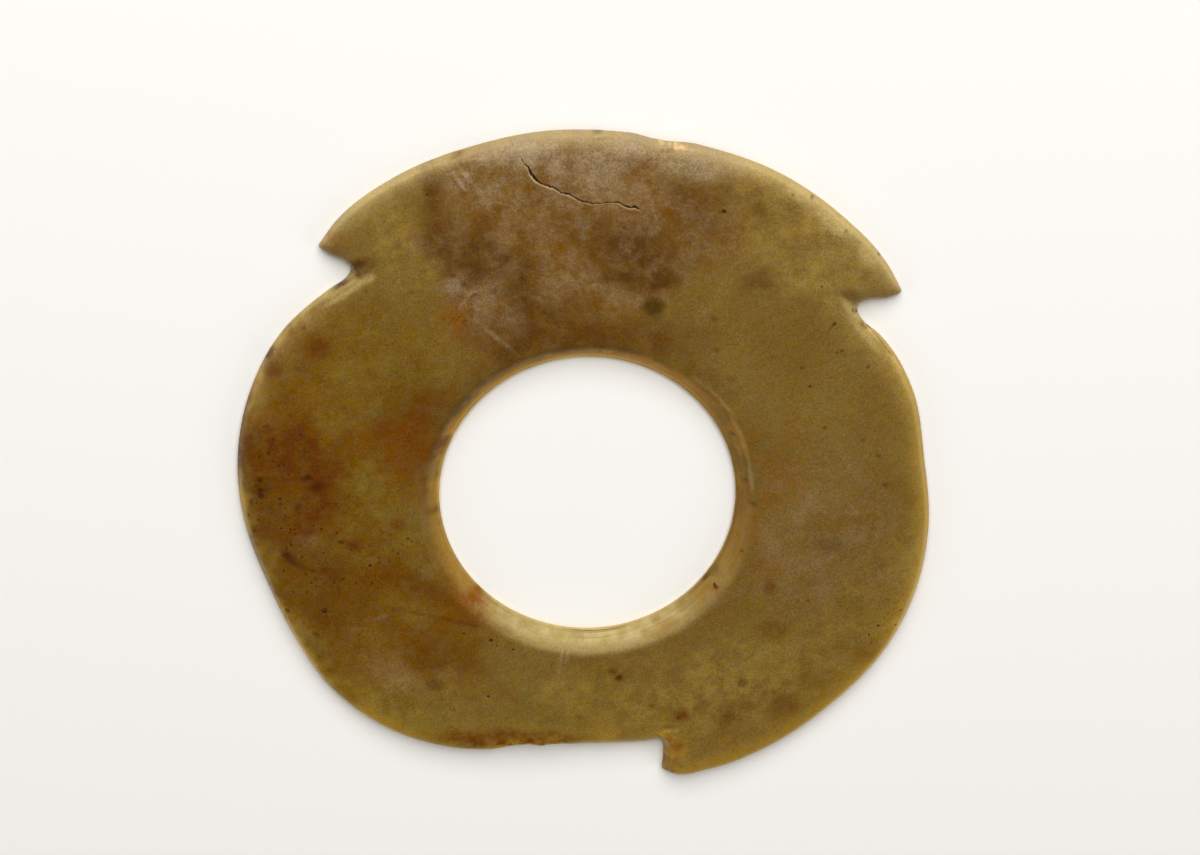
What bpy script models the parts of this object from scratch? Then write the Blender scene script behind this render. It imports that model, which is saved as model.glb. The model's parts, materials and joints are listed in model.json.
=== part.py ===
"""Models a jade disc with a wide drilled hole and three hooked teeth cut out of its rim.

The disc lies on its plain underside with its worked face up. Lengths are in metres. Angles are in
degrees, counted anticlockwise from +X around the middle of the hole, where the mesh has its origin.
The object is moved so that the middle of the disc's width and depth is over the world's origin.
"""

from math import cos, radians, sin
from typing import NamedTuple

import bmesh
import bpy
import numpy as np
from mathutils import Vector
from mathutils.geometry import delaunay_2d_cdt, interpolate_bezier


class Lobe(NamedTuple):
    """A stretch of the rim, with its reach at even steps of angle as shares of RIM_RADIUS."""

    first_angle: float
    last_angle: float
    shares: tuple


class Notch(NamedTuple):
    """A cut into the rim beside a tooth, with the groove that the saw left at its root.

    The root lies at a share of RIM_RADIUS from the middle of the hole. The side is 1 where the tooth
    lies anticlockwise of the root, and -1 where it lies clockwise. The edge runs from the lobe through
    the root to the tooth's tip, each point as (outwards, towards the tooth) from the root, in tooth
    heights.
    """

    root_angle: float
    root_share: float
    side: int
    tooth_height: float
    edge: tuple
    groove_heading: float
    groove_length: float
    groove_width: float
    groove_depth: float


# Slab
RIM_RADIUS = 0.0665
THICKNESS_AT_HOLE = 0.0051
THICKNESS_AT_RIM = 0.0036
CROWN_POWER = 1.6

# Hole, drilled from both faces until the two drillings met in a narrow ring
HOLE_RADIUS = 0.0257
RING_HEIGHT = 0.0011
FRONT_FLARE = 0.0024
BACK_FLARE = 0.0009
LIP_WIDTH = 0.0017
LIP_WEAR = 0.0010
WALL_TOP_RADIUS = HOLE_RADIUS + FRONT_FLARE
LIP_END_RADIUS = WALL_TOP_RADIUS + LIP_WIDTH

# Side of the rim and its bevels, along a lobe and close beside a notch
SIDE_HEIGHT = 0.0014
SIDE_ROUNDING = 0.0003
BEVEL_WIDTH = 0.0015
NOTCH_SIDE_HEIGHT = 0.0022
NOTCH_BEVEL_WIDTH = 0.0032
NOTCH_BEVEL_REACH = 0.0200
UNDER_BEVEL_HEIGHT = 0.0004
BEVEL_POWER = 1.7

# Rim
TOP_LOBE = Lobe(39, 130, (0.994, 1.002, 1.004, 0.996, 0.994, 0.999, 0.998, 1.001, 0.991))
LEFT_LOBE = Lobe(
    138, 276, (0.875, 0.911, 0.922, 0.919, 0.904, 0.883, 0.880, 0.888, 0.874, 0.838, 0.783, 0.740, 0.738)
)
RIGHT_LOBE = Lobe(292, 391, (0.884, 0.900, 0.909, 0.923, 0.922, 0.908, 0.888, 0.893, 0.872))

LEFT_NOTCH = Notch(
    root_angle=133.4,
    root_share=0.874,
    side=-1,
    tooth_height=0.0067,
    edge=((-0.08, -0.24), (0, 0), (0.30, 0.04), (0.60, -0.11), (1, -0.17)),
    groove_heading=-8,
    groove_length=0.0040,
    groove_width=0.0026,
    groove_depth=0.0010,
)
RIGHT_NOTCH = Notch(
    root_angle=36.6,
    root_share=0.863,
    side=1,
    tooth_height=0.0079,
    edge=((-0.06, -0.26), (0, 0), (0.17, 0.08), (0.34, 0.02), (0.67, -0.20), (1, -0.28)),
    groove_heading=127,
    groove_length=0.0050,
    groove_width=0.0026,
    groove_depth=0.0010,
)
BOTTOM_NOTCH = Notch(
    root_angle=285.0,
    root_share=0.744,
    side=1,
    tooth_height=0.0062,
    edge=((0, -0.35), (0.01, -0.03), (0.10, 0.05), (0.42, 0), (0.75, -0.10), (1, -0.20)),
    groove_heading=38,
    groove_length=0.0026,
    groove_width=0.0022,
    groove_depth=0.0005,
)
NOTCHES = (LEFT_NOTCH, RIGHT_NOTCH, BOTTOM_NOTCH)
# The bottom tooth's end is blunt: this point of its rim follows the tip, as an edge's points do
BLUNT_TIP = (1.32, 0.16)

# Chips out of the rim, each with its angle, its length along the rim and its depth
RIM_CHIPS = ((79, 0.0090, 0.0006), (256, 0.0075, 0.0006))

# Fineness of the mesh
RIM_STEP = 0.0014
NOTCH_CUTS = 3
FACE_STEP = 0.0042
NOTCH_STEP = 0.0014
NOTCH_FIELD_RADIUS = 0.0075
HOLE_SIDES = 128
CONE_RINGS = 4
SIDE_RINGS = 2
LIP_RINGS = 3
BEVEL_ROWS = (0.45, 1)
FACE_ROW_GAP = 0.0018
MITRE_SLACK = 0.00015
MERGE_DISTANCE = 1e-6

SHARP_ANGLE = radians(40)
JADE_COLOUR = (0.235, 0.150, 0.055, 1.0)
JADE_ROUGHNESS = 0.32


def polar(angle, radius):
    return Vector((cos(radians(angle)), sin(radians(angle)))) * radius


def notch_point(notch, outwards, towards_tooth):
    """A point of the plan near a notch, from its place in tooth heights."""
    out = polar(notch.root_angle, 1)
    along = notch.side * Vector((-out.y, out.x))
    root = out * notch.root_share * RIM_RADIUS
    return root + (out * outwards + along * towards_tooth) * notch.tooth_height


def notch_points(notch):
    return [notch_point(notch, *place) for place in notch.edge]


def chipped(angle, radius):
    """The rim's radius less what a chip has taken off it."""
    for chip_angle, length, depth in RIM_CHIPS:
        share = abs(angle - chip_angle) / np.degrees(length / 2 / radius)
        radius -= depth * max(0, 1 - share**2)
    return radius


def lobe_points(lobe):
    angles = np.linspace(lobe.first_angle, lobe.last_angle, len(lobe.shares))
    return [polar(angle, RIM_RADIUS * share) for angle, share in zip(angles, lobe.shares)]


def smooth_run(knots):
    """Points on the smooth curve through the knots, from the first knot up to just before the last."""
    padded = [2 * knots[0] - knots[1], *knots, 2 * knots[-1] - knots[-2]]
    handles = []
    for before, knot, after in zip(padded, padded[1:], padded[2:]):
        behind = knot - before
        ahead = after - knot
        weighted = behind.normalized() * ahead.length + ahead.normalized() * behind.length
        handles.append(weighted / (behind.length + ahead.length))
    points = []
    for start, end, leaving, arriving in zip(knots, knots[1:], handles, handles[1:]):
        reach = (end - start).length / 3
        cuts = max(NOTCH_CUTS, round(3 * reach / RIM_STEP))
        curve = interpolate_bezier(start, start + leaving * reach, end - arriving * reach, end, cuts + 1)
        points += curve[:-1]
    return points


def outline():
    """The rim in plan, anticlockwise, as three smooth runs that meet at the tips of the teeth."""
    left = notch_points(LEFT_NOTCH)
    right = notch_points(RIGHT_NOTCH)
    bottom = notch_points(BOTTOM_NOTCH)
    top_run = [right[-1], *lobe_points(TOP_LOBE), left[-1]]
    left_run = [*reversed(left), *lobe_points(LEFT_LOBE), *bottom]
    right_run = [bottom[-1], notch_point(BOTTOM_NOTCH, *BLUNT_TIP), *lobe_points(RIGHT_LOBE), *right]
    points = smooth_run(top_run) + smooth_run(left_run) + smooth_run(right_run)
    rim = []
    for point in points:
        angle = np.degrees(np.arctan2(point.y, point.x)) % 360
        rim.append(point.normalized() * chipped(angle, point.length))
    return np.array(rim)


def inward_normals(rim):
    """The direction into the stone at each point of the rim."""
    ahead = np.roll(rim, -1, axis=0) - rim
    ahead /= np.linalg.norm(ahead, axis=1)[:, None]
    along = ahead + np.roll(ahead, 1, axis=0)
    along /= np.linalg.norm(along, axis=1)[:, None]
    return np.stack([-along[:, 1], along[:, 0]], axis=1)


def rim_sizes(rim):
    """Width of the bevel and height of the side at each point of the rim, both greater beside a notch."""
    along_lobe = np.zeros(len(rim))
    on_any_side = np.zeros(len(rim))
    for notch in NOTCHES:
        out = np.array(polar(notch.root_angle, 1))
        along = notch.side * np.array([-out[1], out[0]])
        offsets = rim - np.array(notch_point(notch, 0, 0))
        near = np.clip(1 - np.linalg.norm(offsets, axis=1) / NOTCH_BEVEL_REACH, 0, 1)
        away_from_tooth = np.clip(-offsets @ along / notch.groove_width, 0, 1)
        along_lobe = np.maximum(along_lobe, near * away_from_tooth)
        on_any_side = np.maximum(on_any_side, near**2)
    bevel_widths = BEVEL_WIDTH + (NOTCH_BEVEL_WIDTH - BEVEL_WIDTH) * along_lobe
    side_heights = SIDE_HEIGHT + (NOTCH_SIDE_HEIGHT - SIDE_HEIGHT) * on_any_side
    return bevel_widths, side_heights


def nearest_on_rim(points, rim):
    """Each point's distance to the rim, and the number of the rim's point where that stretch starts."""
    ends = np.roll(rim, -1, axis=0)
    runs = ends - rim
    offsets = points[:, None] - rim[None]
    shares = np.clip((offsets * runs).sum(axis=2) / (runs**2).sum(axis=1), 0, 1)
    distances = np.linalg.norm(offsets - shares[..., None] * runs, axis=2)
    nearest = distances.argmin(axis=1)
    return distances[np.arange(len(points)), nearest], nearest


def groove_cut(points):
    """Depth that the saw's grooves take off the face at each point."""
    cut = np.zeros(len(points))
    for notch in NOTCHES:
        root = np.array(notch_point(notch, 0, 0))
        heading = np.array(polar(notch.groove_heading, notch.groove_length))
        shares = np.clip((points - root) @ heading / notch.groove_length**2, 0, 1)
        distances = np.linalg.norm(points - root - shares[:, None] * heading, axis=1)
        across = np.clip(distances / (notch.groove_width / 2), 0, 1)
        cut += notch.groove_depth * (1 - across**2) ** 2 * (1 - shares**2)
    return cut


def face_height(points, distances, bevel_widths, side_heights):
    """Height of the worked face: crowned, worn down round the hole and bevelled to the rim."""
    radii = np.linalg.norm(points, axis=1)
    outwards = np.clip((radii - LIP_END_RADIUS) / (RIM_RADIUS - LIP_END_RADIUS), 0, 1)
    slab = THICKNESS_AT_HOLE - (THICKNESS_AT_HOLE - THICKNESS_AT_RIM) * outwards**CROWN_POWER
    onto_lip = np.clip((LIP_END_RADIUS - radii) / LIP_WIDTH, 0, 1)
    slab -= LIP_WEAR * onto_lip**2
    up_bevel = 1 - (1 - np.clip(distances / bevel_widths, 0, 1)) ** BEVEL_POWER
    edge = UNDER_BEVEL_HEIGHT + side_heights
    return edge + (slab - edge) * up_bevel - groove_cut(points)


def underside_height(distances):
    """Height of the underside: flat, with a small bevel up to the rim."""
    off_the_rim = np.clip(distances / BEVEL_WIDTH, 0, 1)
    return UNDER_BEVEL_HEIGHT * (1 - off_the_rim) ** BEVEL_POWER


def even_field(step, reach):
    """Points of an even triangular grid over a square that reaches this far from the middle."""
    row_gap = step * sin(radians(60))
    rows = int(reach / row_gap) + 1
    across = np.arange(-rows, rows + 1)
    return np.array([((x + row % 2 / 2) * step, row * row_gap) for row in across for x in across])


def ring(radius):
    turns = np.arange(HOLE_SIDES) * 360 / HOLE_SIDES
    return np.array([polar(turn, radius) for turn in turns])


def plan_rings(rim, normals, bevel_widths):
    """Closed rows of points that keep the forms crisp: along the rim's bevel and round the hole's lip."""
    offsets = [bevel_widths * share for share in BEVEL_ROWS]
    offsets.append(bevel_widths + FACE_ROW_GAP)
    rings = []
    for offset in offsets:
        row = rim + normals * offset[:, None]
        distances, _ = nearest_on_rim(row, rim)
        rings.append(row[distances > offset - MITRE_SLACK])
    for share in np.linspace(0, 1, LIP_RINGS + 1):
        rings.append(ring(WALL_TOP_RADIUS + LIP_WIDTH * share))
    return rings


def plan_field(rim, normals, bevel_widths):
    """Even points between the bevel and the lip, closer together round each notch."""
    roots = np.array([notch_point(notch, 0, 0) for notch in NOTCHES])
    fields = []
    for step, round_notches in ((FACE_STEP, False), (NOTCH_STEP, True)):
        field = even_field(step, np.abs(rim).max())
        distances, nearest = nearest_on_rim(field, rim)
        inside = ((field - rim[nearest]) * normals[nearest]).sum(axis=1) > 0
        off_bevel = distances > bevel_widths[nearest] + FACE_ROW_GAP + step / 2
        off_lip = np.linalg.norm(field, axis=1) > LIP_END_RADIUS + step / 2
        to_root = np.linalg.norm(field[:, None] - roots[None], axis=2).min(axis=1)
        wanted = (to_root < NOTCH_FIELD_RADIUS) == round_notches
        fields.append(field[inside & off_bevel & off_lip & wanted])
    return np.concatenate(fields)


def fill_plan(bm, rings, field):
    """Fills the plan between the rim and the hole with flat triangles whose sides follow the rings."""
    points = []
    sides = []
    for row in rings:
        first = len(points)
        sides += [(first + i, first + (i + 1) % len(row)) for i in range(len(row))]
        points += [Vector(point) for point in row]
    points += [Vector(point) for point in field]
    inside_sides = 1
    corners, _, triangles, *_ = delaunay_2d_cdt(points, sides, [], inside_sides, MERGE_DISTANCE)
    verts = [bm.verts.new((*corner, 0)) for corner in corners]
    for triangle in triangles:
        middle = sum((corners[i] for i in triangle), Vector((0, 0))) / 3
        if middle.length > WALL_TOP_RADIUS:
            bm.faces.new([verts[i] for i in triangle])


def is_on_hole(plan_radius):
    """Whether a point of the slab belongs to the hole's wall, which is upright before it is shaped."""
    return plan_radius < WALL_TOP_RADIUS + MERGE_DISTANCE


def thicken(bm):
    """Raises the plan into a slab one unit thick, and cuts rings round the walls of its rim and its hole."""
    extruded = bmesh.ops.extrude_face_region(bm, geom=bm.faces[:])["geom"]
    raised = [item for item in extruded if isinstance(item, bmesh.types.BMVert)]
    bmesh.ops.translate(bm, verts=raised, vec=(0, 0, 1))
    upright = [edge for edge in bm.edges if edge.verts[0].co.z != edge.verts[1].co.z]
    for at_hole, rings in ((True, CONE_RINGS), (False, SIDE_RINGS)):
        edges = [edge for edge in upright if is_on_hole(edge.verts[0].co.xy.length) == at_hole]
        bmesh.ops.subdivide_edges(bm, edges=edges, cuts=rings, use_grid_fill=True)


def hole_wall(levels):
    """Radius and height of the hole's wall at each level, from 0 at the back to 1 at the front."""
    ring_level = 1 / (CONE_RINGS + 1)
    top_height = THICKNESS_AT_HOLE - LIP_WEAR
    stops = (0, ring_level, 1)
    radii = np.interp(levels, stops, (HOLE_RADIUS + BACK_FLARE, HOLE_RADIUS, WALL_TOP_RADIUS))
    heights = np.interp(levels, stops, (0, RING_HEIGHT, top_height))
    return radii, heights


def shape_slab(bm, rim, normals, plan_rim):
    """Gives the slab's faces and walls their real heights, and the hole's wall its flare."""
    places = np.array([vert.co[:] for vert in bm.verts])
    plan = places[:, :2]
    level = places[:, 2]
    distances, nearest = nearest_on_rim(plan, plan_rim)
    bevel_widths, side_heights = rim_sizes(rim)
    front = face_height(plan, distances, bevel_widths[nearest], side_heights[nearest])
    back = underside_height(distances)
    shaped = np.column_stack([plan, back + (front - back) * level])

    radii = np.linalg.norm(plan, axis=1)
    on_hole = is_on_hole(radii)
    wall_radii, wall_heights = hole_wall(level[on_hole])
    shaped[on_hole, :2] = plan[on_hole] * (wall_radii / radii[on_hole])[:, None]
    shaped[on_hole, 2] = wall_heights

    on_side = (level > 0) & (level < 1) & ~on_hole
    to_corner = np.linalg.norm(plan[on_side][:, None] - plan_rim[None], axis=2)
    shaped[on_side, :2] = rim[to_corner.argmin(axis=1)]
    for vert, place in zip(bm.verts, shaped):
        vert.co = place


def jade():
    material = bpy.data.materials.new("jade")
    material.use_nodes = True
    surface = material.node_tree.nodes["Principled BSDF"]
    surface.inputs["Base Color"].default_value = JADE_COLOUR
    surface.inputs["Roughness"].default_value = JADE_ROUGHNESS
    surface.inputs["Metallic"].default_value = 0
    return material


def toothed_disc():
    rim = outline()
    normals = inward_normals(rim)
    plan_rim = rim + normals * SIDE_ROUNDING
    bevel_widths, _ = rim_sizes(rim)
    rings = [plan_rim, *plan_rings(plan_rim, normals, bevel_widths)]

    bm = bmesh.new()
    fill_plan(bm, rings, plan_field(plan_rim, normals, bevel_widths))
    thicken(bm)
    shape_slab(bm, rim, normals, plan_rim)
    bmesh.ops.recalc_face_normals(bm, faces=bm.faces[:])
    mesh = bpy.data.meshes.new("toothed_disc")
    bm.to_mesh(mesh)
    bm.free()
    mesh.shade_smooth()
    mesh.set_sharp_from_angle(angle=SHARP_ANGLE)
    mesh.materials.append(jade())

    disc = bpy.data.objects.new("toothed_disc", mesh)
    middle = (rim.min(axis=0) + rim.max(axis=0)) / 2
    disc.location = (-middle[0], -middle[1], 0)
    bpy.context.scene.collection.objects.link(disc)
    return disc


def clear_scene():
    for leftover in list(bpy.data.objects):
        bpy.data.objects.remove(leftover)


clear_scene()
toothed_disc()
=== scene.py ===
"""Dresses the toothed jade disc: worn, polished nephrite with clouds, rust stains and an old crack.

The disc lies on a pale floor with its worked face up, and the camera looks down on it. Lengths are in
metres. Places on the face are pixels of the photograph's 1200 x 855 frame, which the script carries down
the camera's line of sight onto the stone. Turns and headings are degrees, anticlockwise from the right.
"""

import json
from math import cos, pi, radians, sin
from types import SimpleNamespace
from typing import NamedTuple

import bmesh
import bpy
import numpy as np
from mathutils import Matrix, Vector, noise
from mathutils.bvhtree import BVHTree
from mathutils.kdtree import KDTree


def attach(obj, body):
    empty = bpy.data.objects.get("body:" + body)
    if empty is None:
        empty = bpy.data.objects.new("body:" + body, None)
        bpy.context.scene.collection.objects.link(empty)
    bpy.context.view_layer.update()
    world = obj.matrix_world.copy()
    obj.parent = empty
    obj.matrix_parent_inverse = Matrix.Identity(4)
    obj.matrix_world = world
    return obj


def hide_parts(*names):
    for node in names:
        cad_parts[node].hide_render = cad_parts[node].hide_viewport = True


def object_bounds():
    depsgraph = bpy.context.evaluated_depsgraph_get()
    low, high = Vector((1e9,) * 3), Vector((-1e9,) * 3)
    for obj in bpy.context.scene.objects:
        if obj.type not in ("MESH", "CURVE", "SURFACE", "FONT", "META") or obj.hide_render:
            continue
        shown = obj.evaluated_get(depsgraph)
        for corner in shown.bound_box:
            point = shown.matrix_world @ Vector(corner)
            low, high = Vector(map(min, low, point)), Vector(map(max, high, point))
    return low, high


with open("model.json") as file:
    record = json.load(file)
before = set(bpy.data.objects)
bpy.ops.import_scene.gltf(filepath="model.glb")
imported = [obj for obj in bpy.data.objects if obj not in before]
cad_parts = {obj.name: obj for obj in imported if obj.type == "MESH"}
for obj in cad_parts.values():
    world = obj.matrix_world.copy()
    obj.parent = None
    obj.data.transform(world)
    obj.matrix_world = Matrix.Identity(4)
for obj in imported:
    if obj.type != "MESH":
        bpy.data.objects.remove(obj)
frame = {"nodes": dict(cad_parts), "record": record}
cad_box = [list(corner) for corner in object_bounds()]

# Frame of the photograph, and the camera that took it
FRAME_WIDTH = 1200
FRAME_HEIGHT = 855
LENS = 90
SENSOR_WIDTH = 36
CAMERA_TILT = radians(22.5)
CAMERA_HEADING = radians(93.75)
CAMERA_DISTANCE = 0.5198
AIM_FROM_HOLE = Vector((0.0022, 0.0122, 0))

# Middle of the drilled hole, from the opening that the record states
hole_low, hole_high = frame["record"]["physics"]["openings"][0]["box_m"]
HOLE_MIDDLE = Vector(((hole_low[0] + hole_high[0]) / 2, (hole_low[1] + hole_high[1]) / 2, 0))
HOLE_LIP_RADIUS = 0.0300
FACE_TOP = cad_box[1][2]


class Mark(NamedTuple):
    """A patch on the stone, stain and painted light and shade alike: its middle in the photograph, length,
    width, turn and strength.
    """

    pixel: tuple
    length: float
    width: float
    turn: float = 0
    strength: float = 1


class Scoop(NamedTuple):
    """A chip or a pit: where it lies, how wide and deep it is, which way it faces, and how fresh it looks."""

    pixel: tuple
    width: float
    depth: float
    heading: float = 0
    lift: float = 90
    fresh: float = 0


class Groove(NamedTuple):
    """A cut along a path on the face, with its half width at each point of the path, and its depth."""

    pixels: tuple
    half_widths: tuple
    depth: float
    dirt: float = 1


class Ring(NamedTuple):
    """A line that the drill left round the hole's wall: its height, half height and depth."""

    height: float
    half_height: float
    depth: float


class Pattern(NamedTuple):
    """A noise in the stone: the length of its features, its finer layers, and how it lies."""

    length: float
    detail: float = 2
    roughness: float = 0.5
    turn: float = 0
    stretch: tuple = None


class Ramp(NamedTuple):
    """A smooth change of a value from one range to another."""

    low: float
    high: float
    to_low: float = 0
    to_high: float = 1


# Heights up to which the stone is its back, and from which it is its face
BACK_HEIGHT = 0.0003
SIDE_TOP = 0.0032

# Fineness of the dressed stone
MERGE_DISTANCE = 1e-6
FACE_EDGE = 0.00058
SIDE_EDGE = 0.00040
WALL_EDGE = 0.00030
BACK_EDGE = 0.00105
CRACK_EDGE = 0.00013
PIT_EDGE = 0.00015
SPOT_EDGE = 0.00020
CHIP_EDGE = 0.00022
CRACK_REACH = 0.0007
CRACK_STEPS = (0, 0.5)
PIT_REACH_SHARE = 0.6
CHIP_REACH_SHARE = 0.55
SPOT_REACH_SHARE = 0.5
SMALL_SPOT = 0.0016
LONG_EDGE = 1.35
SHORT_EDGE = 0.62
EDGE_GROWTH = 0.30
FLAT_ANGLE = 0.2
CREASE_ANGLE = 0.5
REFINING_PASSES = 7

# Wear that rounded the edges and the slopes
WORN_FROM = BACK_HEIGHT / 3
SLOPES_FROM = SIDE_TOP - 0.0006
SMOOTHING = 0.5
SOFTENING_PASSES = 4
SLOPE_PASSES = 14

# Light through the thin edges: its depth and strength, which change from the bottom to the top
RIM_STEEPNESS = 0.6
THIN_GLOW = 0.32
THIN_GLOW_DEPTH = 0.00030
DEEP_GLOW = 0.85
DEEP_GLOW_FALL = 0.5
GLOW_DEPTH = 0.00110
GLOW_STRETCH = 1.4
GLOW_STRETCH_FALL = 0.4
LIP_GLOW_TOP = 0.0019
UPPER_LIP_GLOW = 0.005
UPPER_LIP_FROM = 0.4
LIP_GLOW_FADE = 1.6
LIP_GLOW_INSET = 0.0012
LIP_GLOW_SHARE = 0.95
RIGHT_LIP_FALL = 0.9
LEFT_LIP_FALL = 0.45

# Slow waves that hand polishing left on the face
WAVE_DEPTH = 0.00007
WAVE_LENGTH = 0.011
RIPPLE_DEPTH = 0.000016
RIPPLE_LENGTH = 0.0026
WAVE_FADE = 0.0015

# Unevenness of the cuts
WANDER_LENGTH = 0.0009
WANDER_REACH = 0.00022
JAGGED_LENGTH = 0.00045
JAGGED_REACH = 0.00045
PATCH_CONTRAST = 2.4
PATCH_DROP = 0.7

# Numbers that set one noise apart from the next
SEED_STEPS = (17.3, 5.1, 9.7)
RIPPLE_SEED = 1
WANDER_SEED = 2
JAGGED_SEED = 3
FRESH_SEED = 4
CHIP_SEED = 6
LIP_SEED = 14
COARSE_WARP_SEED = 5
FINE_WARP_SEED = 8

# Cuts along the face: the crack, whose raised lower lip is painted as a highlight, and the fine line beside
# the right notch
CRACK = Groove(
    pixels=(
        (519, 155), (524, 164), (528, 167), (531, 174), (536, 180), (541, 184), (548, 186), (556, 189),
        (561, 193), (568, 194), (575, 198), (583, 202), (592, 204), (602, 203), (612, 202), (619, 203),
        (625, 206), (631, 208), (635, 207), (640, 210),
    ),
    half_widths=(
        0.00004, 0.00008, 0.00017, 0.00022, 0.00024, 0.00013, 0.00018, 0.00015,
        0.00011, 0.00015, 0.00012, 0.00014, 0.00010, 0.00008, 0.00009, 0.00009,
        0.00014, 0.00019, 0.00021, 0.00007,
    ),
    depth=0.00042,
)
# The fine line where the outer facet meets the bevel, darkened along its length
FACET_LINE = Groove(
    pixels=((865, 323), (869, 328), (875, 334), (882, 342), (889, 351), (896, 360), (901, 368)),
    half_widths=(0.00007, 0.00009, 0.00010, 0.00009, 0.00008, 0.00008, 0.00006),
    depth=0.00010,
    dirt=0.55,
)
GROOVES = (CRACK, FACET_LINE)
GROOVES_FROM = SIDE_TOP - 0.001
GROOVE_PROFILE = 0.6
GROOVE_WANDER = 0.4
GROOVE_DIRT_REACH = 2.5
LEAST_DEPTH_SHARE = 0.3
# Painted highlight along the lower lip of each groove, on the side that faces the light
LIP_WIDTH = 0.00014
LIP_REACH = 1.7
LIP_START = 0.15
LIP_PALENESS = 0.65
LIP_PATCH_LENGTH = 0.003
LIP_PATCH_CONTRAST = 3

# Pits, and how dirty and uneven they are
PIT_DIRT = 0.8
PIT_DIRT_REACH = 2
PIT_JAGGEDNESS = 0.35
PITS = (
    Scoop((724, 212), 0.00085, 0.0003),
    Scoop((370, 566), 0.00065, 0.00024),
    Scoop((325, 613), 0.0006, 0.00022),
    Scoop((408, 539), 0.00055, 0.0002),
    Scoop((412, 542), 0.00045, 0.00016),
    Scoop((491, 641), 0.00075, 0.00026),
    Scoop((497, 646), 0.0004, 0.00014),
    Scoop((513, 650), 0.00055, 0.00022),
    Scoop((464, 634), 0.0005, 0.00012),
    Scoop((488, 697), 0.0006, 0.00022),
    Scoop((853, 310), 0.00065, 0.00026),
    Scoop((857, 311), 0.00045, 0.00016),
    Scoop((822, 287), 0.00045, 0.00018),
    Scoop((835, 325), 0.00045, 0.00016),
    Scoop((810, 387), 0.0006, 0.00024),
    Scoop((638, 209), 0.0005, 0.0002),
    Scoop((878, 626), 0.0006, 0.00022),
    Scoop((896, 625), 0.0005, 0.0002),
    Scoop((869, 635), 0.00045, 0.00016),
    Scoop((427, 195), 0.00055, 0.00016),
    Scoop((714, 584), 0.0006, 0.0002),
)

# Chips along the rim, the flake scar by the crack, and chips on the lip of the hole
CHIPS = (
    Scoop((661, 141), 0.0014, 0.00024, 84, 40, 0.8),
    Scoop((670, 143), 0.0012, 0.00016, 82, 40, 0.5),
    Scoop((677, 144), 0.002, 0.0003, 80, 42, 0.95),
    Scoop((685, 146), 0.0016, 0.00022, 78, 40, 0.8),
    Scoop((692, 149), 0.0012, 0.00014, 76, 42, 0.35),
    Scoop((452, 159), 0.003, 0.00022, 118, 55, 0),
    Scoop((464, 172), 0.0056, 0.00026, 115, 76, 0),
    Scoop((478, 192), 0.004, 0.00014, 120, 84, 0),
    Scoop((504, 746), 0.003, 0.0003, -100, 5, 0),
    Scoop((516, 745.5), 0.0024, 0.00026, -80, 5, 0),
    Scoop((530, 744.5), 0.003, 0.0004, -92, 5, 0),
    Scoop((555, 743), 0.0034, 0.0004, -84, 5, 0),
    Scoop((606, 741), 0.0022, 0.0002, -90, 50, 0.05),
    Scoop((648, 739), 0.0018, 0.00018, -90, 50, 0.05),
    Scoop((673, 740), 0.003, 0.00014, 150, 75, 0),
    Scoop((286, 618), 0.0018, 0.00022, 205, 30, 0.1),
    Scoop((607, 353), 0.0016, 0.0002, -92, 60, 0.5),
    Scoop((597, 131), 0.0018, 0.00016, 92, 50, 0.05),
)
CHIP_RIPPLE = 0.000022
CHIP_RIPPLE_LENGTH = 0.00075
CHIP_UNEVENNESS = 0.5
CHIP_UNEVEN_LENGTH = 0.0011
CHIP_WANDER = 0.3
FRESH_REACH = 4
FRESH_PATCH_LENGTH = 0.0007
LEAST_FRESH = 0.35
FRESH_SPREAD = 0.75

# Rings that the drill left on the hole's wall
WALL_STEEPNESS = 0.8
RING_WANDER = 0.6
DRILL_RINGS = (
    Ring(0.00155, 0.00024, 0.000075),
    Ring(0.00225, 0.00018, 0.000024),
    Ring(0.0029, 0.0002, 0.000032),
    Ring(0.00352, 0.00014, 0.000018),
)

# Stains and patches of painted light and shade, by the colour that each kind brings
HONEY_SIDE = (
    Mark((325, 440), 0.04, 0.036, 75, 0.9),
    Mark((370, 610), 0.042, 0.03, -40, 0.9),
    Mark((480, 320), 0.02, 0.016, 0, 0.5),
    Mark((560, 320), 0.026, 0.012, 0, 0.4),
)
GREENISH = (
    Mark((375, 500), 0.01, 0.009, 0, 0.9),
    Mark((408, 545), 0.008, 0.006, 20, 0.6),
    Mark((350, 555), 0.01, 0.006, -20, 0.45),
    Mark((395, 605), 0.01, 0.005, -20, 0.4),
    Mark((375, 370), 0.024, 0.02, 20, 0.6),
    Mark((385, 235), 0.015, 0.011, 30, 0.5),
    Mark((590, 705), 0.034, 0.01, 0, 0.7),
    Mark((405, 708), 0.02, 0.008, -25, 0.75),
    Mark((760, 660), 0.022, 0.016, 25, 0.5),
    Mark((690, 300), 0.012, 0.008, -20, 0.45),
)
LIGHT = (
    Mark((815, 250), 0.018, 0.012, -38, 0.6),
    Mark((745, 180), 0.012, 0.007, -25, 0.5),
    Mark((375, 205), 0.013, 0.007, 40, 0.4),
    Mark((405, 240), 0.016, 0.012, 30, 0.4),
    Mark((740, 240), 0.016, 0.012, 0, 0.3),
    Mark((562, 690), 0.008, 0.006, 0, 0.55),
    Mark((700, 690), 0.04, 0.014, 15, 0.55),
    Mark((850, 620), 0.018, 0.014, 50, 0.25),
    Mark((430, 705), 0.024, 0.01, -15, 0.3),
    Mark((375, 650), 0.014, 0.007, -45, 0.2),
    Mark((898, 400), 0.03, 0.007, -72, 0.15),
    Mark((700, 745), 0.014, 0.008, 5, 0.35),
    Mark((820, 205), 0.03, 0.006, -40, 0.4),
    Mark((905, 560), 0.024, 0.006, 75, 0.2),
)
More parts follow.
